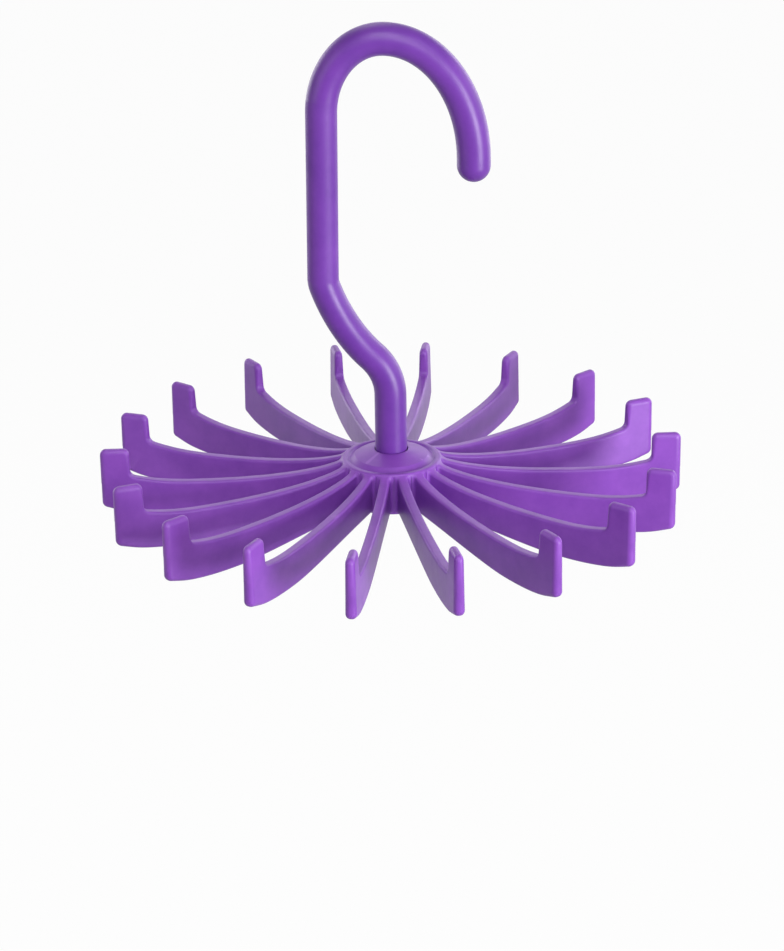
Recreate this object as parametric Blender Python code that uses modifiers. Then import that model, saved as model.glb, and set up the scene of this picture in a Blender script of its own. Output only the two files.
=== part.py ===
"""A rotating closet hook in moulded plastic.

A bent rod hooks over a closet rod. Its lower end carries a wheel of upright arms, which turns
freely on it and is kept on by a cap snapped over the rod's end. Ties and belts hang over the arms.

Metres, +Z up. Heights are written above the foot of the arms' tabs. The finished assembly hangs
with its origin on the wheel's axis, at the underside of the crown, where the closet rod bears.
"""

import math

import bmesh
import bpy
from mathutils import Matrix, Vector
from mathutils.geometry import interpolate_bezier

# Clearances
TOUCH_GAP = 0.0003  # between pieces that bear on each other or are moulded together
BORE_GAP = 0.0003  # between the rod and the bore that turns on it
CUT_OVERRUN = 0.002  # how far a cutter runs past what it cuts
JOIN_OVERLAP = 0.001  # how far one solid runs into another that it is joined to

# Rod
ROD_THICKNESS = 0.0093  # stub
SHANK_THICKNESS = 0.0090  # straight length beside the middle
CROWN_THICKNESS = 0.0094  # at the crown's top
NOSE_THICKNESS = 0.0096
SHANK_FOOT_OFFSET = 0.0187  # shank's centre line to the wheel's axis, at the jog
SHANK_TOP_OFFSET = 0.0181  # and at the crown
JOG_FOOT = 0.0322  # height where the stub starts to bend
JOG_FOOT_RADIUS = 0.0165
JOG_FOOT_LEAN = math.radians(46)
JOG_HEAD = 0.0681  # height where the shank stands upright
JOG_HEAD_RADIUS = 0.0075
JOG_HEAD_LEAN = math.radians(19)
CROWN_FOOT = 0.1165  # height where the shank starts to bend over
CROWN_REACH = 0.0171  # shank's centre line to the crown's middle
CROWN_RISE = 0.0212  # up to the centre line's highest point
NOSE_REACH = 0.0255  # crown's middle to the nose's centre line
NOSE_DROP = 0.0345  # crown's top to the foot of the nose's curve
NOSE_STRAIGHT = 0.0022  # from there to the centre of the round end
TIP_LAST_ANGLE = math.radians(87)  # where the round end is closed off with a small flat

# Wheel
ARM_COUNT = 18
WHEEL_TURN = math.radians(2.1)  # the first arm's angle from +X at rest
WHEEL_RADIUS = 0.0850  # axis to the tabs' outer faces

# Hub
HUB_RADIUS = 0.0146
HUB_FOOT = 0.0003
HUB_ROUND = 0.0008
RIM_TOP = 0.0129
RIM_BEAD = 0.0008  # radius of the bead round the top edge
CONE_FOOT_RADIUS = 0.0122
CONE_SHOULDER_RADIUS = 0.0106
CONE_SHOULDER = 0.0136
CONE_TOP = 0.0156

# Arms
ARM_FOOT_THICKNESS = 0.0034  # at the belly
ARM_TOP_THICKNESS = 0.0026  # at the tab's top, so the sides have draft
ARM_EDGE = 0.0009  # rounding along the long edges
ROOT_TOP = 0.0122
ROOT_FOOT = 0.0012
SADDLE_RADIUS = 0.0560  # where the upper edge is lowest
SADDLE_TOP = 0.0072
TAB_DEPTH = 0.0085  # radial width of the upright tab
TAB_TOP = 0.0177
TAB_ROUND = 0.0018
SEAT_TOP = 0.0093  # where the upper edge meets the tab
SEAT_FILLET = 0.0020
SEAT_RUN = 0.0030  # straight stretch before the tab
SEAT_SLOPE = math.radians(12)
FOOT_ROUND = 0.0018
FOOT_RUN = 0.0030  # straight stretch under the tab
FOOT_SLOPE = math.radians(15)
BELLY_RADIUS = 0.0600  # where the lower edge is lowest
BELLY_DROP = 0.0030  # below the tab's foot

# Shape of the edges between those points, as shares of the span and of the rise
ROOT_TOP_SHARES = (0.19, 0.72)
SADDLE_SHARE = 0.42
SEAT_SHARE = 0.35
BELLY_OUTER_SHARE = 0.32
BELLY_INNER_SHARE = 0.22
ROOT_FOOT_SHARES = (0.33, 0.28)

# Retaining cap, and the spigot on the rod's end that it snaps over
CAP_RADIUS = 0.0080
CAP_TOP = 0.0036
CAP_FOOT = -0.0012
CAP_EDGE = 0.0010
CAP_LIP = 0.0006  # height of the lip that snaps into the spigot's neck
SOCKET_DEPTH = 0.0034
SPIGOT_RADIUS = 0.0030
NECK_RADIUS = 0.0024
SPIGOT_LEAD = 0.0006  # chamfer that leads the spigot in

# Facets
ROD_RESOLUTION = 6  # sixteen sides
ROUND_STEPS = 72
SMALL_ROUND_STEPS = 48
SMOOTH_ANGLE = math.radians(35)
MERGE = 0.00001

# Worked out from the sizes above
ROD_RADIUS = ROD_THICKNESS / 2
CROWN_TOP = CROWN_FOOT + CROWN_RISE
HANG_HEIGHT = CROWN_TOP - CROWN_THICKNESS / 2
ROD_END = CAP_TOP + TOUCH_GAP
BORE_RADIUS = ROD_RADIUS + BORE_GAP
SOCKET_RADIUS = SPIGOT_RADIUS + TOUCH_GAP
LIP_RADIUS = NECK_RADIUS + TOUCH_GAP
SPIGOT_END = CAP_TOP - SOCKET_DEPTH + TOUCH_GAP
NECK_LENGTH = CAP_LIP + TOUCH_GAP + TOUCH_GAP
TAB_INNER_RADIUS = WHEEL_RADIUS - TAB_DEPTH

PURPLE = (0.195, 0.061, 0.468, 1.0)


def clear_scene():
    """Removes whatever the scene holds."""
    for obj in list(bpy.data.objects):
        bpy.data.objects.remove(obj, do_unlink=True)


def new_collection(name):
    """Links a collection of that name to the scene."""
    made = bpy.data.collections.new(name)
    bpy.context.scene.collection.children.link(made)
    return made


def plastic(name, roughness):
    """Purple moulded plastic with a soft sheen."""
    made = bpy.data.materials.new(name)
    made.use_nodes = True
    shader = made.node_tree.nodes["Principled BSDF"]
    shader.inputs["Base Color"].default_value = PURPLE
    shader.inputs["Roughness"].default_value = roughness
    shader.inputs["Metallic"].default_value = 0
    return made


def shade_round(mesh):
    """Smooth shading, with the real edges left sharp."""
    mesh.shade_smooth()
    mesh.set_sharp_from_angle(angle=SMOOTH_ANGLE)


def add_object(name, data, parent, collection):
    """Places one named object under its parent."""
    obj = bpy.data.objects.new(name, data)
    collection.objects.link(obj)
    obj.parent = parent
    return obj


def mesh_from(obj, name):
    """The evaluated object as a mesh of its own, with loose caps welded, and the object removed."""
    bpy.context.view_layer.update()
    evaluated = obj.evaluated_get(bpy.context.evaluated_depsgraph_get())
    mesh = bpy.data.meshes.new_from_object(evaluated)
    mesh.name = name
    solid = bmesh.new()
    solid.from_mesh(mesh)
    bmesh.ops.remove_doubles(solid, verts=solid.verts, dist=MERGE)
    bmesh.ops.recalc_face_normals(solid, faces=solid.faces)
    solid.to_mesh(mesh)
    solid.free()
    bpy.data.objects.remove(obj, do_unlink=True)
    return mesh


def turned(name, profile, closed, steps, parent, collection):
    """A solid turned about Z from (radius, height) points that run down its outer side."""
    mesh = bpy.data.meshes.new(name)
    outline = bmesh.new()
    points = [outline.verts.new((radius, 0, height)) for radius, height in profile]
    pairs = list(zip(points, points[1:]))
    if closed:
        pairs.append((points[-1], points[0]))
    for pair in pairs:
        outline.edges.new(pair)
    outline.to_mesh(mesh)
    outline.free()
    obj = add_object(name, mesh, parent, collection)
    screw = obj.modifiers.new("turn", "SCREW")
    screw.steps = steps
    screw.render_steps = steps
    screw.use_merge_vertices = True
    screw.merge_threshold = MERGE
    screw.use_smooth_shade = True
    return obj


def arc(centre, start, sweep, steps):
    """Points round a centre in the XZ plane, from start through the sweep angle."""
    spoke = start - centre
    turns = [Matrix.Rotation(-sweep * i / steps, 3, "Y") for i in range(steps + 1)]
    return [centre + turn @ spoke for turn in turns]


def quarter_ellipse(centre, reach, rise, steps):
    """Points from the top of an ellipse in the XZ plane down to its side, on +X for a positive reach."""
    angles = [math.pi / 2 * i / steps for i in range(steps + 1)]
    return [centre + Vector((reach * math.sin(a), 0, rise * math.cos(a))) for a in angles]


def heading(lean):
    """The way up the rod where it leans that far towards -X."""
    return Vector((-math.sin(lean), 0, math.cos(lean)))


def jog_route():
    """Centre line from the top of the stub over to the foot of the straight shank."""
    foot = Vector((0, 0, JOG_FOOT))
    foot_centre = foot - Vector((JOG_FOOT_RADIUS, 0, 0))
    foot_bend = arc(foot_centre, foot, JOG_FOOT_LEAN, steps=6)
    head = shank_foot()
    head_centre = head + Vector((JOG_HEAD_RADIUS, 0, 0))
    head_bend = arc(head_centre, head, JOG_HEAD_LEAN, steps=3)
    head_bend.reverse()
    start = foot_bend[-1]
    end = head_bend[0]
    third = (end - start).length / 3
    leg = interpolate_bezier(
        start,
        start + third * heading(JOG_FOOT_LEAN),
        end - third * heading(JOG_HEAD_LEAN),
        end,
        9,
    )
    return foot_bend[:-1] + leg + head_bend[1:]


def shank_foot():
    """The foot of the shank's centre line."""
    return Vector((-SHANK_FOOT_OFFSET, 0, JOG_HEAD))


def tapered(points, first_thickness, last_thickness):
    """(centre line point, radius) pairs for a stretch of rod whose thickness changes steadily."""
    last = len(points) - 1
    growth = (last_thickness - first_thickness) / 2
    return [(point, first_thickness / 2 + growth * i / last) for i, point in enumerate(points)]


def hook_route():
    """(centre line point, radius) pairs from the rod's lower end to the tip of the nose."""
    stub_heights = (ROD_END, CONE_TOP, (CONE_TOP + JOG_FOOT) / 2)
    stub = [(Vector((0, 0, height)), ROD_RADIUS) for height in stub_heights]
    jog = tapered(jog_route(), ROD_THICKNESS, SHANK_THICKNESS)
    shank_top = Vector((-SHANK_TOP_OFFSET, 0, CROWN_FOOT))
    shank_points = [shank_foot().lerp(shank_top, i / 4) for i in range(5)]
    shank = tapered(shank_points, SHANK_THICKNESS, SHANK_THICKNESS)
    crown_centre = shank_top + Vector((CROWN_REACH, 0, 0))
    crown_points = quarter_ellipse(crown_centre, -CROWN_REACH, CROWN_RISE, steps=9)
    crown_points.reverse()
    crown = tapered(crown_points, SHANK_THICKNESS, CROWN_THICKNESS)
    nose_centre = Vector((crown_centre.x, 0, CROWN_TOP - NOSE_DROP))
    nose_points = quarter_ellipse(nose_centre, NOSE_REACH, NOSE_DROP, steps=13)
    nose = tapered(nose_points, CROWN_THICKNESS, NOSE_THICKNESS)
    tip_centre = nose_points[-1] - Vector((0, 0, NOSE_STRAIGHT))
    return stub + jog[:-1] + shank + crown[1:] + nose[1:] + round_tip(tip_centre, steps=5)


def round_tip(centre, steps):
    """The rod's round end: the tube's radius dwindles along a quarter circle."""
    radius = NOSE_THICKNESS / 2
    angles = [math.pi / 2 * i / steps for i in range(steps)] + [TIP_LAST_ANGLE]
    return [
        (centre - Vector((0, 0, radius * math.sin(a))), radius * math.cos(a))
        for a in angles
    ]


def rod_tube(collection):
    """The bent rod as a tube curve."""
    route = hook_route()
    curve = bpy.data.curves.new("hook_rod_curve", "CURVE")
    curve.dimensions = "3D"
    curve.bevel_depth = ROD_RADIUS
    curve.bevel_resolution = ROD_RESOLUTION
    curve.use_fill_caps = True
    spline = curve.splines.new("POLY")
    spline.points.add(len(route) - 1)
    for point, (place, radius) in zip(spline.points, route):
        point.co = (*place, 1)
        point.radius = radius / ROD_RADIUS
    return add_object("hook_rod_curve", curve, None, collection)


def build_hook_rod(parent, parts, helpers):
    """The bent rod, joined to the necked spigot that the cap snaps over."""
    mesh = mesh_from(rod_tube(helpers), "hook_rod")
    shade_round(mesh)
    rod = add_object("hook_rod", mesh, parent, parts)
    neck_end = ROD_END - NECK_LENGTH
    spigot = turned(
        "spigot",
        [
            (0, ROD_END + JOIN_OVERLAP),
            (NECK_RADIUS, ROD_END + JOIN_OVERLAP),
            (NECK_RADIUS, neck_end),
            (SPIGOT_RADIUS, neck_end),
            (SPIGOT_RADIUS, SPIGOT_END + SPIGOT_LEAD),
            (SPIGOT_RADIUS - SPIGOT_LEAD, SPIGOT_END),
            (0, SPIGOT_END),
        ],
        closed=False,
        steps=SMALL_ROUND_STEPS,
        parent=parent,
        collection=helpers,
    )
    hide_helper(spigot)
    join = rod.modifiers.new("spigot", "BOOLEAN")
    join.operation = "UNION"
    join.object = spigot
    rod.data.materials.append(plastic("hook_plastic", roughness=0.35))
    return rod


def hide_helper(obj):
    """Keeps a cutter or a joined solid out of the finished object."""
    obj.hide_render = True
    obj.display_type = "WIRE"


def build_cap(parent, parts):
    """The cap under the hub: a disc with a blind socket and a lip at its mouth."""
    floor = CAP_TOP - SOCKET_DEPTH
    lip_foot = CAP_TOP - CAP_LIP
    cap = turned(
        "retaining_cap",
        [
            (0, floor),
            (SOCKET_RADIUS, floor),
            (SOCKET_RADIUS, lip_foot),
            (LIP_RADIUS, lip_foot),
            (LIP_RADIUS, CAP_TOP),
            (CAP_RADIUS, CAP_TOP),
            (CAP_RADIUS, CAP_FOOT + CAP_EDGE),
            (CAP_RADIUS - CAP_EDGE, CAP_FOOT),
            (0, CAP_FOOT),
        ],
        closed=False,
        steps=SMALL_ROUND_STEPS,
        parent=parent,
        collection=parts,
    )
    cap.data.materials.append(plastic("cap_plastic", roughness=0.4))
    return cap


def rim_profile():
    """The bead round the hub's top edge, from its inner side over to its outer side."""
    centre = HUB_RADIUS - RIM_BEAD
    height = RIM_TOP - RIM_BEAD
    angles = [math.pi * (1 - i / 6) for i in range(7)]
    return [(centre + RIM_BEAD * math.cos(a), height + RIM_BEAD * math.sin(a)) for a in angles]


def build_hub(parent, parts):
    """The wheel's hub: a drum with a bore, a shallow cone on top and a recess for the cap."""
    recess = CAP_RADIUS + BORE_GAP
    hub = turned(
        "hub",
        [
            (BORE_RADIUS, CONE_TOP),
            (CONE_SHOULDER_RADIUS, CONE_SHOULDER),
            (CONE_FOOT_RADIUS, RIM_TOP - RIM_BEAD),
            *rim_profile(),
            (HUB_RADIUS, HUB_FOOT + HUB_ROUND),
            (HUB_RADIUS - HUB_ROUND, HUB_FOOT),
            (recess, HUB_FOOT),
            (recess, CAP_TOP + TOUCH_GAP),
            (BORE_RADIUS, CAP_TOP + TOUCH_GAP),
        ],
        closed=True,
        steps=ROUND_STEPS,
        parent=parent,
        collection=parts,
    )
    hub.data.materials.append(plastic("wheel_plastic", roughness=0.35))
    return hub


def sweep_edge(start, start_handle, end_handle, end, steps):
    """Points along a smooth edge, without its first one."""
    return interpolate_bezier(start, start_handle, end_handle, end, steps + 1)[1:]


def fillet(before, corner, after, radius, steps):
    """Points of an arc that rounds a corner."""
    back = (before - corner).normalized()
    ahead = (after - corner).normalized()
    half = back.angle(ahead) / 2
    centre = corner + (back + ahead).normalized() * radius / math.sin(half)
    start = (corner + back * radius / math.tan(half) - centre).normalized()
    end = (corner + ahead * radius / math.tan(half) - centre).normalized()
    return [centre + radius * start.slerp(end, i / steps) for i in range(steps + 1)]


def upper_edge(inner_radius):
    """The arm's upper edge, from inside the hub out to the tab."""
    root = Vector((inner_radius, ROOT_TOP))
    saddle = Vector((SADDLE_RADIUS, SADDLE_TOP))
    seat = Vector((TAB_INNER_RADIUS, SEAT_TOP))
    run = Vector((math.cos(SEAT_SLOPE), math.sin(SEAT_SLOPE)))
    seat_start = seat - run * SEAT_RUN
    span = saddle - root
    root_handle = root + Vector((span.x * ROOT_TOP_SHARES[0], span.y * ROOT_TOP_SHARES[1]))
    saddle_inner = saddle - Vector((span.x * SADDLE_SHARE, 0))
    reach = (seat_start - saddle).x * SEAT_SHARE
    saddle_outer = saddle + Vector((reach, 0))
    edge = [root]
    edge += sweep_edge(root, root_handle, saddle_inner, saddle, steps=8)
    edge += sweep_edge(saddle, saddle_outer, seat_start - run * reach, seat_start, steps=4)
    return edge


def tab_edge(seat_start, foot_start):
    """Round the upright tab: seat corner, inner and outer top corners, and outer foot."""
    seat = Vector((TAB_INNER_RADIUS, SEAT_TOP))
    inner_top = Vector((TAB_INNER_RADIUS, TAB_TOP))
    outer_top = Vector((WHEEL_RADIUS, TAB_TOP))
    foot = Vector((WHEEL_RADIUS, 0))
    edge = fillet(seat_start, seat, inner_top, SEAT_FILLET, steps=3)
    edge += fillet(seat, inner_top, outer_top, TAB_ROUND, steps=3)
    edge += fillet(inner_top, outer_top, foot, TAB_ROUND, steps=3)
    edge += fillet(outer_top, foot, foot_start, FOOT_ROUND, steps=3)
    return edge


def lower_edge(foot_start, run, inner_radius):
    """The arm's lower edge, from under the tab in to the hub."""
    belly = Vector((BELLY_RADIUS, -BELLY_DROP))
    root = Vector((inner_radius, ROOT_FOOT))
    reach = (foot_start - belly).x * BELLY_OUTER_SHARE
    span = belly - root
    belly_inner = belly - Vector((span.x * BELLY_INNER_SHARE, 0))
    root_handle = root + Vector((span.x * ROOT_FOOT_SHARES[0], span.y * ROOT_FOOT_SHARES[1]))
    edge = [foot_start]
    edge += sweep_edge(foot_start, foot_start - run * reach, belly + Vector((reach, 0)), belly, steps=4)
    edge += sweep_edge(belly, belly_inner, root_handle, root, steps=6)
    return edge


def arm_outline():
    """(radius, height) points round one arm, with its root inside the hub."""
    inner_radius = HUB_RADIUS - CUT_OVERRUN
    run = Vector((math.cos(FOOT_SLOPE), math.sin(FOOT_SLOPE)))
    foot_start = Vector((WHEEL_RADIUS, 0)) - run * FOOT_RUN
    upper = upper_edge(inner_radius)
    return upper + tab_edge(upper[-1], foot_start) + lower_edge(foot_start, run, inner_radius)


def add_draft(mesh):
    """Thins the blade steadily from its belly up to the tab's top, as it leaves the mould."""
    for vertex in mesh.vertices:
        share = (vertex.co.y + BELLY_DROP) / (TAB_TOP + BELLY_DROP)
        thickness = ARM_FOOT_THICKNESS + (ARM_TOP_THICKNESS - ARM_FOOT_THICKNESS) * share
        vertex.co.z *= thickness / ARM_FOOT_THICKNESS


def arm_mesh(helpers):
    """One blade along +X, standing upright, with its root cut to the hub's wall."""
    curve = bpy.data.curves.new("arm_curve", "CURVE")
    curve.dimensions = "2D"
    curve.fill_mode = "BOTH"
    curve.extrude = ARM_FOOT_THICKNESS / 2 - ARM_EDGE
    curve.bevel_depth = ARM_EDGE
    curve.bevel_resolution = 0
    curve.offset = -ARM_EDGE
    outline = arm_outline()
    spline = curve.splines.new("POLY")
    spline.points.add(len(outline) - 1)
    for point, place in zip(spline.points, outline):
        point.co = (*place, 0, 1)
    spline.use_cyclic_u = True
    mesh = mesh_from(add_object("arm_curve", curve, None, helpers), "arm_blank")
    add_draft(mesh)
    mesh.transform(Matrix.Rotation(math.pi / 2, 4, "X"))
    blank = add_object("arm_blank", mesh, None, helpers)
    wall = hub_cutter(helpers)
    cut = blank.modifiers.new("root", "BOOLEAN")
    cut.operation = "DIFFERENCE"
    cut.object = wall
    made = mesh_from(blank, "arm")
    bpy.data.objects.remove(wall, do_unlink=True)
    shade_round(made)
    return made


def hub_cutter(helpers):
    """A cylinder as wide as the hub and its gap, which shapes an arm's root."""
    bpy.ops.mesh.primitive_cylinder_add(
        vertices=ROUND_STEPS,
        radius=HUB_RADIUS + TOUCH_GAP,
        depth=RIM_TOP + BELLY_DROP + CUT_OVERRUN + CUT_OVERRUN,
        location=(0, 0, (RIM_TOP - BELLY_DROP) / 2),
    )
    cutter = bpy.context.object
    cutter.name = "hub_cutter"
    for holder in list(cutter.users_collection):
        holder.objects.unlink(cutter)
    helpers.objects.link(cutter)
    hide_helper(cutter)
    return cutter


def build_arms(parent, parts, helpers):
    """The arms, spread evenly round the axis."""
    mesh = arm_mesh(helpers)
    mesh.materials.clear()
    mesh.materials.append(plastic("arm_plastic", roughness=0.35))
    for number in range(ARM_COUNT):
        arm = add_object(f"arm_{number + 1:02d}", mesh, parent, parts)
        arm.rotation_euler.z = math.tau * number / ARM_COUNT


def main():
    clear_scene()
    parts = new_collection("rotating_closet_hook")
    helpers = new_collection("helpers")
    hanger = add_object("hanger", None, None, parts)
    hanger.location.z = -HANG_HEIGHT
    wheel = add_object("wheel", None, hanger, parts)
    wheel.rotation_euler.z = WHEEL_TURN
    build_hook_rod(hanger, parts, helpers)
    build_cap(hanger, parts)
    build_hub(wheel, parts)
    build_arms(wheel, parts, helpers)


main()
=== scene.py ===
import math

import bmesh
import bpy
from mathutils import Matrix, Vector
from mathutils.geometry import interpolate_bezier


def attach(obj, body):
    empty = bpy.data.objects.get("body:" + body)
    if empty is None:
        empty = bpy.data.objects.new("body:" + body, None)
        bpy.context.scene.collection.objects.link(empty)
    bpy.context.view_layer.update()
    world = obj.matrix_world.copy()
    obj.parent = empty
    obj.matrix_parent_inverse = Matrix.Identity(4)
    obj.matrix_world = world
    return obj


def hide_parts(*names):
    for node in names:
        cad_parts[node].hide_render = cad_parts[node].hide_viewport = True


# A rotating closet hook in purple moulded plastic. Metres. Heights are written above the foot of
# the arms' tabs, and the whole object hangs HANG_HEIGHT lower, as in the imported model.

# Rod
STUB_RADIUS = 0.00465
SHANK_RADIUS = 0.0045
CROWN_RADIUS = 0.0047
NOSE_RADIUS = 0.0048
SHANK_FOOT_OFFSET = 0.0187
SHANK_TOP_OFFSET = 0.0181
JOG_FOOT = 0.0322
JOG_FOOT_RADIUS = 0.0165
JOG_FOOT_LEAN = math.radians(46)
JOG_HEAD = 0.0681
JOG_HEAD_RADIUS = 0.0075
JOG_HEAD_LEAN = math.radians(19)
CROWN_FOOT = 0.1165
CROWN_REACH = 0.0171
CROWN_RISE = 0.0212
NOSE_REACH = 0.0255
NOSE_DROP = 0.0345
NOSE_STRAIGHT = 0.0022
SEAM_RISE = 0.000015  # the mould's parting line along the rod
SEAM_SHARE = 0.5  # of the step between two sides

# How finely the rod is divided, along its stretches and round it
STUB_STEPS = 24
JOG_FOOT_STEPS = 28
JOG_LEG_POINTS = 33
JOG_HEAD_STEPS = 8
SHANK_STEPS = 30
CROWN_STEPS = 40
NOSE_STEPS = 64
TIP_STEPS = 14
ROD_SIDES = 56

# Rod's lower end
ROD_END = 0.0039
ROD_END_CHAMFER = 0.0004
NECK_RADIUS = 0.0024
NECK_END = 0.0027
SPIGOT_RADIUS = 0.0030
SPIGOT_END = 0.0005
SPIGOT_LEAD = 0.0006

# Hub
HUB_RADIUS = 0.0146
HUB_FOOT = 0.0003
HUB_ROUND = 0.0008
BORE_RADIUS = 0.0048
BORE_EDGE = 0.0003
RIM_TOP = 0.0129
RIM_BEAD = 0.0008
RIM_BEAD_INNER = 0.00056  # rounding of the bead's inner edge
GROOVE_RADIUS = 0.0123
GROOVE_HEIGHT = 0.0121
GROOVE_ROUND = 0.0005
SHOULDER_RADIUS = 0.0106
SHOULDER_HEIGHT = 0.0136
SHOULDER_ROUND = 0.0007
CONE_TOP = 0.0156
RECESS_RADIUS = 0.0083
RECESS_TOP = 0.0039
HUB_SIDES = 180
CORNER_STEPS = 8  # round each corner of a turned profile

# Arms
ARM_COUNT = 18
WHEEL_TURN = math.radians(2.1)  # from +X round to the first arm, with the wheel at rest
WHEEL_RADIUS = 0.0850
ARM_FOOT_THICKNESS = 0.0034
ARM_TOP_THICKNESS = 0.0026
ARM_EDGE = 0.0008  # rounding along the arm's long edges
TAB_EDGE = 0.0015  # and round the tab, whose outer end is nearly half round
EDGE_STEPS = 6
EDGE_MARGIN = 0.0001  # strip that keeps the flat sides' shading flat
ROOT_DEPTH = 0.0005  # how far an arm's root runs into the hub's wall, of which it is part
ROOT_FLARE = 0.0009  # fillet between an arm's sides and the hub's wall
FLARE_STEPS = 6
ROOT_LIFT = 0.0005  # how far an arm's upper edge rises to flow into the hub's rim
ROOT_LIFT_RUN = 0.0022
ROOT_TOP = 0.0122
ROOT_FOOT = 0.0012
SADDLE_RADIUS = 0.0560
SADDLE_TOP = 0.0072
TAB_DEPTH = 0.0085
TAB_TOP = 0.0177
TAB_ROUND = 0.0018
TAB_CORNER_STEPS = 9
SEAT_TOP = 0.0093
SEAT_FILLET = 0.0020
SEAT_RUN = 0.0030
SEAT_SLOPE = math.radians(12)
FOOT_ROUND = 0.0018
FOOT_RUN = 0.0030
FOOT_SLOPE = math.radians(15)
BELLY_RADIUS = 0.0600
BELLY_DROP = 0.0030
PARTING_HEIGHT = 0.0072  # where the mould halves meet on the tab's outer face
PARTING_STEP = 0.00006
PARTING_BAND = 0.00012

# Curve handles of the arm's edges, as shares of the stretch that each one shapes, and steps
ROOT_TOP_SHARES = (0.19, 0.72)
SADDLE_SHARE = 0.42
SEAT_SHARE = 0.35
BELLY_OUTER_SHARE = 0.32
BELLY_INNER_SHARE = 0.22
ROOT_FOOT_SHARES = (0.33, 0.28)
ROOT_TO_SADDLE_STEPS = 40
SADDLE_TO_SEAT_STEPS = 14
FOOT_TO_BELLY_STEPS = 16
BELLY_TO_ROOT_STEPS = 30

# Retaining cap
CAP_RADIUS = 0.0080
CAP_TOP = 0.0036
CAP_FOOT = -0.0012
CAP_ROUND = 0.0010
CAP_LIP = 0.0006
CAP_FLOOR = 0.0002
SOCKET_RADIUS = 0.0033
LIP_RADIUS = 0.0027
GATE_RADIUS = 0.0009
GATE_DEPTH = 0.0002
CAP_SIDES = 96

CROWN_TOP = CROWN_FOOT + CROWN_RISE
HANG_HEIGHT = CROWN_TOP - CROWN_RADIUS
TAB_INNER_RADIUS = WHEEL_RADIUS - TAB_DEPTH
MERGE = 0.000005
SMOOTH_ANGLE = math.radians(38)
UP = Vector((0, 0, 1))
BACK = Vector((0, 1, 0))

# Camera, fitted to the photograph
IMAGE_HEIGHT_PX = 951
FOCAL_PX = 3003
SENSOR = 36.0
VIEW_DISTANCE = 0.8842
VIEW_ELEVATION = math.radians(22.72)
VIEW_ROLL = math.radians(-0.93)
VIEW_SHIFT_RIGHT = 0.00007
VIEW_SHIFT_UP = 0.00672
VIEW_DATUM_DROP = 0.0006  # the fitted aim lies this far below the tabs' foot

# Light
WORLD_LIGHT = 0.08
LAMPS = (  # name, place, width, height and power
    ("right softbox", (0.78, -0.73, -0.12), 0.40, 0.46, 12.0),
    ("right top", (0.55, -0.60, 0.70), 0.50, 0.50, 1.5),
    ("front top", (0.00, -0.74, 0.75), 0.40, 0.40, 3.2),
    ("front", (0.15, -0.92, 0.42), 0.50, 0.50, 3.7),
    ("left fill", (-0.90, -0.60, 0.10), 0.80, 0.80, 2.8),
    ("right side", (0.95, 0.10, 0.15), 0.50, 0.50, 1.3),
    ("back top", (-0.20, 0.60, 0.85), 0.60, 0.60, 2.2),
    ("back strip", (0.25, 0.93, 0.26), 1.10, 0.30, 1.8),
    ("back left", (-0.80, 0.80, 0.00), 0.80, 0.80, 4.5),
    ("back right", (0.80, 0.80, 0.00), 0.80, 0.80, 4.0),
)
WHITE = (1, 1, 1, 1)
FLOOR_DROP = 0.45
FLOOR_SIZE = 12.0
FLOOR_SHADOW_SHARE = 0.03
FLOOR_GREY = (0.45, 0.45, 0.45, 1)

# Plastic's colours, linear: the tone of the body, of its deeper patches and of the painted highlight
# on its edges
ROD_TONES = ((0.136, 0.031, 0.302), (0.096, 0.018, 0.240), (0.220, 0.078, 0.430))
WHEEL_TONES = ((0.222, 0.061, 0.420), (0.162, 0.039, 0.335), (0.320, 0.125, 0.540))
DRIFT_SCALE = 80  # drift between the body's tone and the deeper one
DRIFT_DETAIL = 6
DRIFT_ROUGHNESS = 0.65
DRIFT_SPAN = (0.32, 0.70)
PAINTED_HIGHLIGHT_SPAN = (0.52, 0.62)  # pointiness from which an edge gets the painted highlight, and at which it has it fully
PAINTED_HIGHLIGHT_SHARE = 0.45

# Plastic's gloss
PLASTIC_IOR = 1.46
PLASTIC_SPECULAR = 0.43
HAZE_SCALE = 260
HAZE_DETAIL = 4
HAZE_BELOW = 0.05  # how far the roughness falls below its mean
HAZE_ABOVE = 0.07
DULL_ROUGHNESS = 0.16  # the straight shank's fine texture makes it duller than the bends
DULL_FADE = 0.0006
DULL_HEAD = 0.1205  # just above the crown's foot

# Plastic's surface: a fine grain and a broad ripple
GRAIN_SCALE = 1400
GRAIN_DETAIL = 2
GRAIN_STRENGTH = 0.10
GRAIN_DEPTH = 0.00002
RIPPLE_SCALE = 180
RIPPLE_DETAIL = 1
RIPPLE_STRENGTH = 0.12
RIPPLE_DEPTH = 0.0003


def raised(radius, height):
    """A (radius, height) point in the XZ plane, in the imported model's frame."""
    return Vector((radius, 0, height - HANG_HEIGHT))


def add_piece(name, mesh, body, node, material):
    """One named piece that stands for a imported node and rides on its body."""
    mesh.name = name
    mesh.materials.append(material)
    piece = bpy.data.objects.new(name, mesh)
    bpy.context.scene.collection.objects.link(piece)
    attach(piece, body)
    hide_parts(node)


def skin(shape, loops):
    """Joins each ring of vertices to the next one with a band of faces."""
    count = len(loops[0])
    for lower, upper in zip(loops, loops[1:]):
        for k in range(count):
            shape.faces.new((lower[k], lower[(k + 1) % count], upper[(k + 1) % count], upper[k]))


def finish_mesh(shape):
    """Welds the working mesh, points its faces out and shades it smooth."""
    bmesh.ops.remove_doubles(shape, verts=shape.verts, dist=MERGE)
    bmesh.ops.recalc_face_normals(shape, faces=shape.faces)
    mesh = bpy.data.meshes.new("piece")
    shape.to_mesh(mesh)
    shape.free()
    mesh.shade_smooth()
    mesh.set_sharp_from_angle(angle=SMOOTH_ANGLE)
    return mesh


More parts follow.
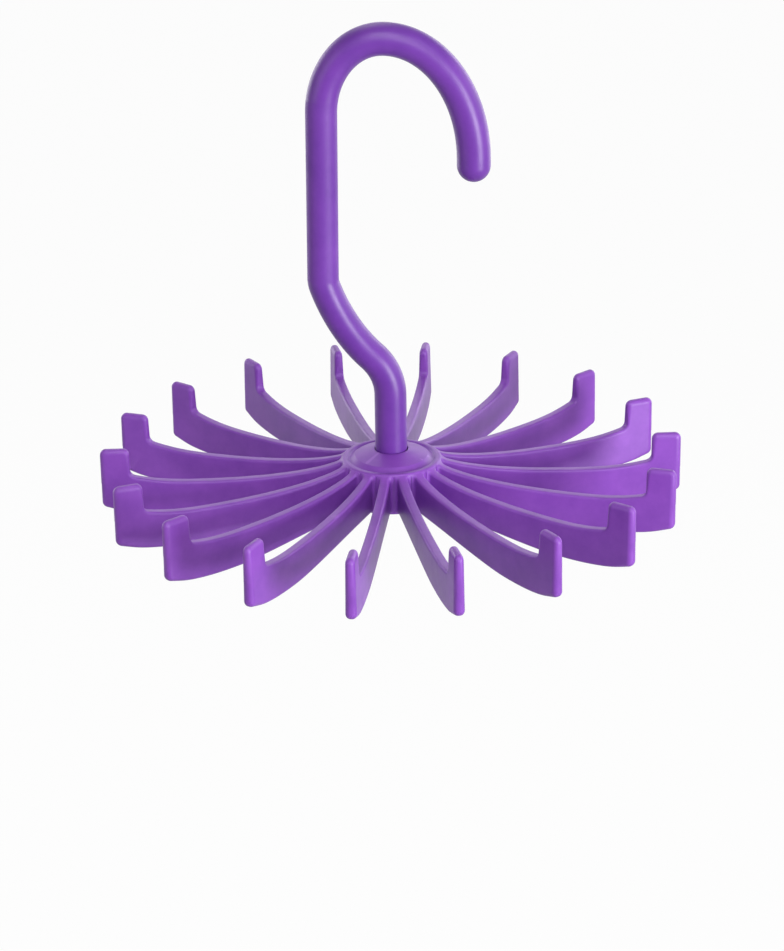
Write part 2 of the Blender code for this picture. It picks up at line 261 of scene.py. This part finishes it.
def arc(centre, start, sweep, steps):
    """Points round a centre in the XZ plane, from start through the sweep angle."""
    spoke = start - centre
    turns = [Matrix.Rotation(-sweep * i / steps, 3, "Y") for i in range(steps + 1)]
    return [centre + turn @ spoke for turn in turns]


def quarter_ellipse(centre, reach, rise, steps):
    """Points from the top of an ellipse in the XZ plane down to its side."""
    angles = [math.pi / 2 * i / steps for i in range(steps + 1)]
    return [centre + Vector((reach * math.sin(a), 0, rise * math.cos(a))) for a in angles]


def heading(lean):
    """The way up the rod where it leans that far towards -X."""
    return Vector((-math.sin(lean), 0, math.cos(lean)))


def fillet(before, corner, after, radius, steps):
    """Points of an arc that rounds a corner."""
    back = (before - corner).normalized()
    ahead = (after - corner).normalized()
    half = back.angle(ahead) / 2
    centre = corner + (back + ahead).normalized() * radius / math.sin(half)
    start = (corner + back * radius / math.tan(half) - centre).normalized()
    end = (corner + ahead * radius / math.tan(half) - centre).normalized()
    return [centre + radius * start.slerp(end, i / steps) for i in range(steps + 1)]


def eased(share):
    """A share from 0 to 1 with a soft start and end."""
    kept = max(0.0, min(1.0, share))
    return kept * kept * (3 - 2 * kept)


# Rod

def jog_route():
    """Centre line from the top of the stub over to the foot of the shank."""
    foot = Vector((0, 0, JOG_FOOT))
    foot_centre = foot - Vector((JOG_FOOT_RADIUS, 0, 0))
    foot_bend = arc(foot_centre, foot, JOG_FOOT_LEAN, JOG_FOOT_STEPS)
    head = Vector((-SHANK_FOOT_OFFSET, 0, JOG_HEAD))
    head_centre = head + Vector((JOG_HEAD_RADIUS, 0, 0))
    head_bend = arc(head_centre, head, JOG_HEAD_LEAN, JOG_HEAD_STEPS)
    head_bend.reverse()
    start = foot_bend[-1]
    end = head_bend[0]
    third = (end - start).length / 3
    start_handle = start + third * heading(JOG_FOOT_LEAN)
    end_handle = end - third * heading(JOG_HEAD_LEAN)
    leg = interpolate_bezier(start, start_handle, end_handle, end, JOG_LEG_POINTS)
    return foot_bend[:-1] + leg + head_bend[1:]


def straight(start, end, steps):
    """Points from start to end, with both of them."""
    return [start.lerp(end, i / steps) for i in range(steps + 1)]


def tapered(points, first_radius, last_radius):
    """(centre, radius) rings along a stretch of rod whose radius changes steadily."""
    last = len(points) - 1
    growth = last_radius - first_radius
    return [(point, first_radius + growth * i / last) for i, point in enumerate(points)]


def rod_route():
    """(centre, radius) rings from the top of the stub's chamfer to the tip of the nose."""
    stub_foot = Vector((0, 0, ROD_END + ROD_END_CHAMFER))
    stub_points = straight(stub_foot, Vector((0, 0, JOG_FOOT)), STUB_STEPS)
    stub = tapered(stub_points, STUB_RADIUS, STUB_RADIUS)
    jog = tapered(jog_route(), STUB_RADIUS, SHANK_RADIUS)
    shank_foot = Vector((-SHANK_FOOT_OFFSET, 0, JOG_HEAD))
    shank_top = Vector((-SHANK_TOP_OFFSET, 0, CROWN_FOOT))
    shank = tapered(straight(shank_foot, shank_top, SHANK_STEPS), SHANK_RADIUS, SHANK_RADIUS)
    crown_centre = shank_top + Vector((CROWN_REACH, 0, 0))
    crown_points = quarter_ellipse(crown_centre, -CROWN_REACH, CROWN_RISE, CROWN_STEPS)
    crown_points.reverse()
    crown = tapered(crown_points, SHANK_RADIUS, CROWN_RADIUS)
    nose_centre = Vector((crown_centre.x, 0, CROWN_TOP - NOSE_DROP))
    nose_points = quarter_ellipse(nose_centre, NOSE_REACH, NOSE_DROP, NOSE_STEPS)
    nose = tapered(nose_points, CROWN_RADIUS, NOSE_RADIUS)
    tip = nose_tip(nose_points[-1] - Vector((0, 0, NOSE_STRAIGHT)))
    return stub[:-1] + jog[:-1] + shank + crown[1:] + nose[1:] + tip


def nose_tip(centre):
    """(centre, radius) rings of the nose's round end, from its equator nearly to its pole."""
    angles = [math.pi / 2 * i / TIP_STEPS for i in range(TIP_STEPS)]
    return [
        (centre - Vector((0, 0, NOSE_RADIUS * math.sin(a))), NOSE_RADIUS * math.cos(a))
        for a in angles
    ]


def rod_foot():
    """(centre, radius) rings of the necked spigot, from its lower end up to the stub."""
    steps = [
        (SPIGOT_END, SPIGOT_RADIUS - SPIGOT_LEAD),
        (SPIGOT_END + SPIGOT_LEAD, SPIGOT_RADIUS),
        (NECK_END, SPIGOT_RADIUS),
        (NECK_END, NECK_RADIUS),
        (ROD_END, NECK_RADIUS),
        (ROD_END, STUB_RADIUS - ROD_END_CHAMFER),
    ]
    return [(Vector((0, 0, height)), radius) for height, radius in steps]


def ring_sides():
    """(angle, on a seam) for each side of the rod, with two close sides beside each mould seam."""
    step = math.tau / ROD_SIDES
    sides = []
    for i in range(ROD_SIDES):
        if i % (ROD_SIDES // 2) == 0:
            sides.append((step * (i - SEAM_SHARE), False))
            sides.append((step * i, True))
            sides.append((step * (i + SEAM_SHARE), False))
        else:
            sides.append((step * i, False))
    return sides


def add_ring(shape, centre, radius, along, recess):
    """Vertices of a ring square to the rod's direction. All but the seams lie deeper by the recess."""
    level = along.cross(BACK).normalized()
    ring = []
    for angle, on_seam in ring_sides():
        reach = radius if on_seam else radius - recess
        place = centre + (level * math.cos(angle) + BACK * math.sin(angle)) * reach
        ring.append(shape.verts.new(place - UP * HANG_HEIGHT))
    return ring


def build_rod(material):
    """The bent rod as one closed tube of rings, mitred along its centre line."""
    foot = rod_foot()
    route = rod_route()
    shape = bmesh.new()
    loops = [add_ring(shape, centre, radius, UP, recess=0) for centre, radius in foot]
    # The route's centres, with the last of the foot's before them and their own last one again
    centres = [foot[-1][0]] + [centre for centre, _ in route]
    centres.append(centres[-1])
    for before, (centre, radius), after in zip(centres, route, centres[2:]):
        loops.append(add_ring(shape, centre, radius, (after - before).normalized(), SEAM_RISE))
    skin(shape, loops)
    shape.faces.new(loops[0])
    tip_centre = route[-TIP_STEPS][0]
    pole = shape.verts.new(tip_centre - UP * NOSE_RADIUS - UP * HANG_HEIGHT)
    last = loops[-1]
    for vertex, after in zip(last, last[1:] + last[:1]):
        shape.faces.new((vertex, after, pole))
    add_piece("bent_rod", finish_mesh(shape), "hook", "hook_rod", material)


# Turned pieces

def rounded_profile(corners):
    """An outline from (radius, height, rounding) corners. A rounding of 0 keeps its corner sharp."""
    points = [Vector((radius, height)) for radius, height, _ in corners]
    outline = []
    for i, (_, _, rounding) in enumerate(corners):
        if rounding:
            after = points[(i + 1) % len(points)]
            outline += fillet(points[i - 1], points[i], after, rounding, CORNER_STEPS)
        else:
            outline.append(points[i])
    return outline


def lathe(profile, sides):
    """A closed solid turned about the wheel's axis from (radius, height) points."""
    turns = [Matrix.Rotation(math.tau * i / sides, 3, "Z") for i in range(sides)]
    shape = bmesh.new()
    loops = []
    for radius, height in profile:
        place = raised(radius, height)
        used_turns = turns if radius > MERGE else turns[:1]
        loops.append([shape.verts.new(turn @ place) for turn in used_turns])
    pairs = list(zip(loops, loops[1:]))
    if len(loops[0]) > 1 and len(loops[-1]) > 1:
        pairs.append((loops[-1], loops[0]))
    for first, second in pairs:
        for k in range(sides):
            corners = [first[k % len(first)], first[(k + 1) % len(first)]]
            corners += [second[(k + 1) % len(second)], second[k % len(second)]]
            shape.faces.new(list(dict.fromkeys(corners)))
    return finish_mesh(shape)


def hub_profile():
    """(radius, height) points round the hub's wall, from the bore's top edge outwards and down."""
    outline = rounded_profile([
        (BORE_RADIUS, CONE_TOP, BORE_EDGE),
        (SHOULDER_RADIUS, SHOULDER_HEIGHT, SHOULDER_ROUND),
        (GROOVE_RADIUS, GROOVE_HEIGHT, GROOVE_ROUND),
        (HUB_RADIUS - 2 * RIM_BEAD, RIM_TOP, RIM_BEAD_INNER),
        (HUB_RADIUS, RIM_TOP, RIM_BEAD),
        (HUB_RADIUS, HUB_FOOT, HUB_ROUND),
        (RECESS_RADIUS, HUB_FOOT, BORE_EDGE),
        (RECESS_RADIUS, RECESS_TOP, 0),
        (BORE_RADIUS, RECESS_TOP, BORE_EDGE),
    ])
    points = []
    for point, after in zip(outline, outline[1:] + outline[:1]):
        cuts = max(1, round((after - point).length / RIM_BEAD))
        points += [point.lerp(after, i / cuts) for i in range(cuts)]
    return points


def build_hub(material):
    """The wheel's hub, with a beaded rim, a groove, a shallow cone, a bore and a recess below."""
    mesh = lathe(hub_profile(), HUB_SIDES)
    add_piece("wheel_hub", mesh, "wheel", "hub", material)


def build_cap(material):
    """The cap under the hub, with a blind socket, a lip at its mouth and a gate mark below."""
    profile = rounded_profile([
        (0, CAP_FLOOR, 0),
        (SOCKET_RADIUS, CAP_FLOOR, 0),
        (SOCKET_RADIUS, CAP_TOP - CAP_LIP, 0),
        (LIP_RADIUS, CAP_TOP - CAP_LIP, 0),
        (LIP_RADIUS, CAP_TOP, 0),
        (CAP_RADIUS, CAP_TOP, BORE_EDGE),
        (CAP_RADIUS, CAP_FOOT, CAP_ROUND),
        (GATE_RADIUS + GATE_DEPTH, CAP_FOOT, 0),
        (GATE_RADIUS, CAP_FOOT + GATE_DEPTH, 0),
        (0, CAP_FOOT + GATE_DEPTH, 0),
    ])
    mesh = lathe(profile, CAP_SIDES)
    add_piece("clip_cap", mesh, "hook", "retaining_cap", material)


# Arms

def sweep_edge(start, start_handle, end_handle, end, steps):
    """Points along a smooth edge, without its first one."""
    return interpolate_bezier(start, start_handle, end_handle, end, steps + 1)[1:]


def upper_edge(inner_radius):
    """The arm's upper edge, from inside the hub's wall out to the tab."""
    root = Vector((inner_radius, ROOT_TOP))
    saddle = Vector((SADDLE_RADIUS, SADDLE_TOP))
    seat = Vector((TAB_INNER_RADIUS, SEAT_TOP))
    run = Vector((math.cos(SEAT_SLOPE), math.sin(SEAT_SLOPE)))
    seat_start = seat - run * SEAT_RUN
    span = saddle - root
    root_handle = root + Vector((span.x * ROOT_TOP_SHARES[0], span.y * ROOT_TOP_SHARES[1]))
    saddle_inner = saddle - Vector((span.x * SADDLE_SHARE, 0))
    reach = (seat_start - saddle).x * SEAT_SHARE
    saddle_outer = saddle + Vector((reach, 0))
    seat_handle = seat_start - run * reach
    edge = [root]
    edge += sweep_edge(root, root_handle, saddle_inner, saddle, ROOT_TO_SADDLE_STEPS)
    edge += sweep_edge(saddle, saddle_outer, seat_handle, seat_start, SADDLE_TO_SEAT_STEPS)
    lifted = []
    for point in edge:
        lift = ROOT_LIFT * (1 - eased((point.x - inner_radius) / ROOT_LIFT_RUN))
        lifted.append(point + Vector((0, lift)))
    return lifted


def tab_edge(seat_start, foot_start):
    """Round the upright tab: seat corner, inner and outer top corners, and outer foot."""
    seat = Vector((TAB_INNER_RADIUS, SEAT_TOP))
    inner_top = Vector((TAB_INNER_RADIUS, TAB_TOP))
    outer_top = Vector((WHEEL_RADIUS, TAB_TOP))
    foot = Vector((WHEEL_RADIUS, 0))
    edge = fillet(seat_start, seat, inner_top, SEAT_FILLET, TAB_CORNER_STEPS)
    edge += fillet(seat, inner_top, outer_top, TAB_ROUND, TAB_CORNER_STEPS)
    edge += fillet(inner_top, outer_top, foot, TAB_ROUND, TAB_CORNER_STEPS)
    edge += fillet(outer_top, foot, foot_start, FOOT_ROUND, TAB_CORNER_STEPS)
    return edge


def lower_edge(foot_start, run, inner_radius):
    """The arm's lower edge, from under the tab in to the hub's wall."""
    belly = Vector((BELLY_RADIUS, -BELLY_DROP))
    root = Vector((inner_radius, ROOT_FOOT))
    reach = (foot_start - belly).x * BELLY_OUTER_SHARE
    foot_handle = foot_start - run * reach
    belly_outer = belly + Vector((reach, 0))
    span = belly - root
    belly_inner = belly - Vector((span.x * BELLY_INNER_SHARE, 0))
    root_handle = root + Vector((span.x * ROOT_FOOT_SHARES[0], span.y * ROOT_FOOT_SHARES[1]))
    edge = [foot_start]
    edge += sweep_edge(foot_start, foot_handle, belly_outer, belly, FOOT_TO_BELLY_STEPS)
    edge += sweep_edge(belly, belly_inner, root_handle, root, BELLY_TO_ROOT_STEPS)
    return edge


def arm_outline():
    """(radius, height) points round one arm, with its root just inside the hub's wall."""
    inner_radius = HUB_RADIUS - ROOT_DEPTH
    run = Vector((math.cos(FOOT_SLOPE), math.sin(FOOT_SLOPE)))
    foot_start = Vector((WHEEL_RADIUS, 0)) - run * FOOT_RUN
    upper = upper_edge(inner_radius)
    points = upper + tab_edge(upper[-1], foot_start) + lower_edge(foot_start, run, inner_radius)
    return [point for i, point in enumerate(points) if (point - points[i - 1]).length > MERGE]


def inward_normals(outline):
    """Unit vectors into the blade at each point of its outline, which runs clockwise from the root.

    The root's own end, inside the hub, stays unrounded, so its corners follow the long edges alone.
    """
    steps = [(after - point).normalized() for point, after in zip(outline, outline[1:])]
    normals = []
    for before, after in zip(steps[:1] + steps, steps + steps[-1:]):
        along = before + after
        normals.append(Vector((along.y, -along.x)).normalized())
    return normals


def edge_rounding(place):
    """How much the blade's edge is rounded there: slightly along the arm, fully at the tab's end."""
    outward = (place.x - TAB_INNER_RADIUS) / TAB_DEPTH
    tab_foot = SEAT_TOP + SEAT_FILLET
    upward = (place.y - tab_foot) / (TAB_TOP - tab_foot)
    return ARM_EDGE + (TAB_EDGE - ARM_EDGE) * eased(max(outward, upward))


def arm_blank():
    """One blade as rings of its outline, with rounded edges and two flat sides. Z is its thickness."""
    outline = arm_outline()
    places = list(zip(outline, inward_normals(outline)))
    turns = [math.pi / 2 * i / EDGE_STEPS for i in range(EDGE_STEPS + 1)]
    levels = [(1, turn, 0) for turn in turns] + [(1, turns[-1], EDGE_MARGIN)]
    levels = [(-side, turn, margin) for side, turn, margin in reversed(levels)] + levels
    shape = bmesh.new()
    loops = []
    for side, turn, margin in levels:
        loop = []
        for place, normal in places:
            radius = edge_rounding(place)
            inset = place + normal * (radius * (1 - math.cos(turn)) + margin)
            half = ARM_FOOT_THICKNESS / 2 - radius * (1 - math.sin(turn))
            loop.append(shape.verts.new((inset.x, inset.y, side * half)))
        loops.append(loop)
    skin(shape, loops)
    sides = [shape.faces.new(loops[0]), shape.faces.new(loops[-1])]
    bmesh.ops.triangulate(shape, faces=sides)
    return shape


def slice_across(shape, place, normal):
    """Adds a row of vertices where a plane crosses the blade."""
    geometry = list(shape.verts) + list(shape.edges) + list(shape.faces)
    bmesh.ops.bisect_plane(shape, geom=geometry, plane_co=place, plane_no=normal, dist=MERGE)


def shape_arm(shape):
    """Gives the flat blade its draft, its flared root and its mould step. X is radius, Y is height."""
    for i in range(FLARE_STEPS + 1):
        angle = math.radians(90 * i / FLARE_STEPS)
        radius = HUB_RADIUS + ROOT_FLARE * (1 - math.sin(angle))
        slice_across(shape, (radius, 0, 0), (1, 0, 0))
    for height in (PARTING_HEIGHT, PARTING_HEIGHT - PARTING_BAND):
        slice_across(shape, (0, height, 0), (0, 1, 0))
    for vertex in shape.verts:
        share = (vertex.co.y + BELLY_DROP) / (TAB_TOP + BELLY_DROP)
        thickness = ARM_FOOT_THICKNESS + (ARM_TOP_THICKNESS - ARM_FOOT_THICKNESS) * share
        vertex.co.z *= thickness / ARM_FOOT_THICKNESS
        away = max(0.0, min(ROOT_FLARE, HUB_RADIUS + ROOT_FLARE - vertex.co.x))
        flare = ROOT_FLARE - math.sqrt(ROOT_FLARE**2 - away**2)
        side_share = max(-1.0, min(1.0, vertex.co.z / (thickness / 2 - ARM_EDGE)))
        vertex.co.z += flare * side_share
        below = vertex.co.y < PARTING_HEIGHT - PARTING_BAND / 2
        if below and vertex.co.x > TAB_INNER_RADIUS + TAB_DEPTH / 2:
            vertex.co.x -= PARTING_STEP


def build_arms(material):
    """The arms, spread evenly round the axis, each a turned copy of one blade."""
    shape = arm_blank()
    shape_arm(shape)
    bmesh.ops.rotate(shape, verts=shape.verts, matrix=Matrix.Rotation(math.pi / 2, 3, "X"))
    blade = finish_mesh(shape)
    for i in range(ARM_COUNT):
        number = f"{i + 1:02d}"
        mesh = blade.copy()
        mesh.transform(Matrix.Rotation(WHEEL_TURN + math.tau * i / ARM_COUNT, 4, "Z"))
        mesh.transform(Matrix.Translation((0, 0, -HANG_HEIGHT)))
        add_piece(f"blade_{number}", mesh, "wheel", f"arm_{number}", material)


# Materials

def add_node(tree, kind, inputs=None, **settings):
    """A node with its settings. Each input is a value, or another node's output to link to it."""
    node = tree.nodes.new("ShaderNode" + kind)
    for name, value in settings.items():
        setattr(node, name, value)
    for name, value in (inputs or {}).items():
        if isinstance(value, bpy.types.NodeSocket):
            tree.links.new(value, node.inputs[name])
        else:
            node.inputs[name].default_value = value
    return node


def calculate(tree, operation, *values):
    """The result of one arithmetic operation on numbers and other nodes' outputs."""
    inputs = dict(enumerate(values))
    return add_node(tree, "Math", inputs, operation=operation).outputs["Value"]


def map_range(tree, inputs):
    """A value moved from one span of numbers to another."""
    return add_node(tree, "MapRange", inputs).outputs["Result"]


def noise(tree, place, inputs, seed=None):
    """A noise pattern over the piece, whose seed makes it differ from that of other pieces."""
    inputs = {"Vector": place, **inputs}
    dimensions = "3D"
    if seed is not None:
        inputs["W"] = seed
        dimensions = "4D"
    return add_node(tree, "TexNoise", inputs, noise_dimensions=dimensions).outputs["Fac"]


def plastic_colour(tree, place, tones, seed):
    """The body's tone, which drifts to a deeper one in patches and pales on convex edges as a painted
    highlight.
    """
    body_tone, deep_tone, painted_highlight_tone = tones
    pattern = {"Scale": DRIFT_SCALE, "Detail": DRIFT_DETAIL, "Roughness": DRIFT_ROUGHNESS}
    patches = add_node(tree, "ValToRGB", {"Fac": noise(tree, place, pattern, seed)})
    elements = patches.color_ramp.elements
    for element, position, tone in zip(elements, DRIFT_SPAN, (deep_tone, body_tone)):
        element.position = position
        element.color = (*tone, 1)
    # Painted highlight: convex edges are paled by pointiness, standing in for the light that they
    # catch.
    painted_edge_highlight = map_range(tree, {
        "Value": add_node(tree, "NewGeometry").outputs["Pointiness"],
        "From Min": PAINTED_HIGHLIGHT_SPAN[0],
        "From Max": PAINTED_HIGHLIGHT_SPAN[1],
        "To Max": PAINTED_HIGHLIGHT_SHARE,
    })
    mix = {"Factor": painted_edge_highlight, "A": patches.outputs["Color"], "B": (*painted_highlight_tone, 1)}
    return add_node(tree, "Mix", mix, data_type="RGBA").outputs["Result"]


def plastic_roughness(tree, place, roughness, seed):
    """A roughness that wavers a little round its mean."""
    haze = noise(tree, place, {"Scale": HAZE_SCALE, "Detail": HAZE_DETAIL}, seed)
    span = {"Value": haze, "To Min": roughness - HAZE_BELOW, "To Max": roughness + HAZE_ABOVE}
    return map_range(tree, span)


def duller_on_shank(tree, place, roughness):
    """The roughness, with more of it on the straight shank and a short change at each end."""
    axes = add_node(tree, "SeparateXYZ", {"Vector": place}).outputs
    middle = (JOG_HEAD + DULL_HEAD) / 2 - HANG_HEIGHT
    half = (DULL_HEAD - JOG_HEAD) / 2
    added = map_range(tree, {
        "Value": calculate(tree, "ABSOLUTE", calculate(tree, "SUBTRACT", axes["Z"], middle)),
        "From Min": half,
        "From Max": half + DULL_FADE,
        "To Min": DULL_ROUGHNESS,
        "To Max": 0,
    })
    on_shank_side = calculate(tree, "LESS_THAN", axes["X"], 0)
    return calculate(tree, "MULTIPLY_ADD", added, on_shank_side, roughness)


def plastic_texture(tree, place):
    """A fine grain, and a broad ripple that keeps the surface from looking machined."""
    grain = noise(tree, place, {"Scale": GRAIN_SCALE, "Detail": GRAIN_DETAIL})
    fine = {"Strength": GRAIN_STRENGTH, "Distance": GRAIN_DEPTH, "Height": grain}
    grained = add_node(tree, "Bump", fine).outputs["Normal"]
    ripple = noise(tree, place, {"Scale": RIPPLE_SCALE, "Detail": RIPPLE_DETAIL})
    broad = {"Strength": RIPPLE_STRENGTH, "Distance": RIPPLE_DEPTH, "Height": ripple}
    return add_node(tree, "Bump", {**broad, "Normal": grained}).outputs["Normal"]


def plastic(name, tones, roughness, seed, dull_shank=False):
    """Purple injection-moulded plastic: faint colour drift, soft sheen, fine surface texture."""
    material = bpy.data.materials.new(name)
    material.use_nodes = True
    tree = material.node_tree
    shader = tree.nodes["Principled BSDF"].inputs
    shader["IOR"].default_value = PLASTIC_IOR
    shader["Specular IOR Level"].default_value = PLASTIC_SPECULAR
    place = add_node(tree, "TexCoord").outputs["Object"]
    gloss = plastic_roughness(tree, place, roughness, seed)
    if dull_shank:
        gloss = duller_on_shank(tree, place, gloss)
    tree.links.new(plastic_colour(tree, place, tones, seed), shader["Base Color"])
    tree.links.new(gloss, shader["Roughness"])
    tree.links.new(plastic_texture(tree, place), shader["Normal"])
    return material


# Stage

def background_rays(tree):
    """1 for camera, glossy and transmission rays, which show the background, and 0 for others."""
    path = add_node(tree, "LightPath").outputs
    seen = calculate(tree, "MAXIMUM", path["Is Camera Ray"], path["Is Glossy Ray"])
    return calculate(tree, "MAXIMUM", seen, path["Is Transmission Ray"])


def show_mix(tree, output, share, first, second):
    """Sends the first shader, with a share of the second in its place, to the output."""
    mix = add_node(tree, "MixShader", {"Fac": share, 1: first, 2: second})
    add_node(tree, output, {"Surface": mix.outputs["Shader"]})


def build_floor():
    """A plain pale floor that shows as white and keeps a faint share of the object's shadow."""
    material = bpy.data.materials.new("pale_floor")
    material.use_nodes = True
    tree = material.node_tree
    tree.nodes.clear()
    pale = add_node(tree, "BsdfDiffuse", {"Color": FLOOR_GREY}).outputs["BSDF"]
    white = add_node(tree, "Emission").outputs["Emission"]
    white_share = calculate(tree, "MULTIPLY", background_rays(tree), 1 - FLOOR_SHADOW_SHARE)
    show_mix(tree, "OutputMaterial", white_share, pale, white)
    bpy.ops.mesh.primitive_plane_add(size=FLOOR_SIZE, location=(0, 0, -HANG_HEIGHT - FLOOR_DROP))
    floor = bpy.context.object
    floor.name = "floor"
    floor.data.materials.append(material)


def build_world():
    """An even faint light, and plain white to rays that show the background."""
    world = bpy.data.worlds.new("studio")
    bpy.context.scene.world = world
    world.use_nodes = True
    tree = world.node_tree
    tree.nodes.clear()
    light = add_node(tree, "Background", {"Color": WHITE, "Strength": WORLD_LIGHT})
    white = add_node(tree, "Background", {"Color": WHITE})
    shaders = (light.outputs["Background"], white.outputs["Background"])
    show_mix(tree, "OutputWorld", background_rays(tree), *shaders)


def add_lamp(name, place, width, height, power):
    """A soft lamp that shines at the middle of the object."""
    lamp = bpy.data.lights.new(name, "AREA")
    lamp.shape = "RECTANGLE"
    lamp.size = width
    lamp.size_y = height
    lamp.energy = power
    holder = bpy.data.objects.new(name, lamp)
    bpy.context.scene.collection.objects.link(holder)
    holder.location = place
    middle = -UP * HANG_HEIGHT / 2
    holder.rotation_mode = "QUATERNION"
    holder.rotation_quaternion = (middle - holder.location).to_track_quat("-Z", "Y")


def build_camera():
    """The photograph's camera, placed round the wheel by its distance, elevation and roll."""
    data = bpy.data.cameras.new("camera")
    data.sensor_width = SENSOR
    data.lens = FOCAL_PX / IMAGE_HEIGHT_PX * SENSOR
    camera = bpy.data.objects.new("camera", data)
    bpy.context.scene.collection.objects.link(camera)
    back = Vector((0, -math.cos(VIEW_ELEVATION), math.sin(VIEW_ELEVATION)))
    level = Vector((1, 0, 0))
    up = back.cross(level)
    right = level * math.cos(VIEW_ROLL) + up * math.sin(VIEW_ROLL)
    rolled_up = up * math.cos(VIEW_ROLL) - level * math.sin(VIEW_ROLL)
    place = back * VIEW_DISTANCE + level * VIEW_SHIFT_RIGHT + up * VIEW_SHIFT_UP
    place.z -= HANG_HEIGHT + VIEW_DATUM_DROP
    turn = Matrix((right, rolled_up, back)).transposed().to_4x4()
    camera.matrix_world = Matrix.Translation(place) @ turn
    bpy.context.scene.camera = camera


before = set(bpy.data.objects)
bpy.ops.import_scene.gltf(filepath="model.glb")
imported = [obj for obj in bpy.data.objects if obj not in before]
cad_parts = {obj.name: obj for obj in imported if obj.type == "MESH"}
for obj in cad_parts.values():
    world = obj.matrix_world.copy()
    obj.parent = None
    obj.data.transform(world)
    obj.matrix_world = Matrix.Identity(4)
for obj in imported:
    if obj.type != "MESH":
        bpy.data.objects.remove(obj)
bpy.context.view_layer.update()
bpy.context.scene.view_settings.view_transform = "Standard"
build_camera()
build_world()
for lamp_values in LAMPS:
    add_lamp(*lamp_values)
build_floor()
build_rod(plastic("hook_plastic_look", ROD_TONES, roughness=0.37, seed=1.0, dull_shank=True))
build_cap(plastic("cap_plastic_look", ROD_TONES, roughness=0.44, seed=2.0))
build_hub(plastic("wheel_plastic_look", WHEEL_TONES, roughness=0.42, seed=3.0))
build_arms(plastic("arm_plastic_look", WHEEL_TONES, roughness=0.42, seed=4.0))
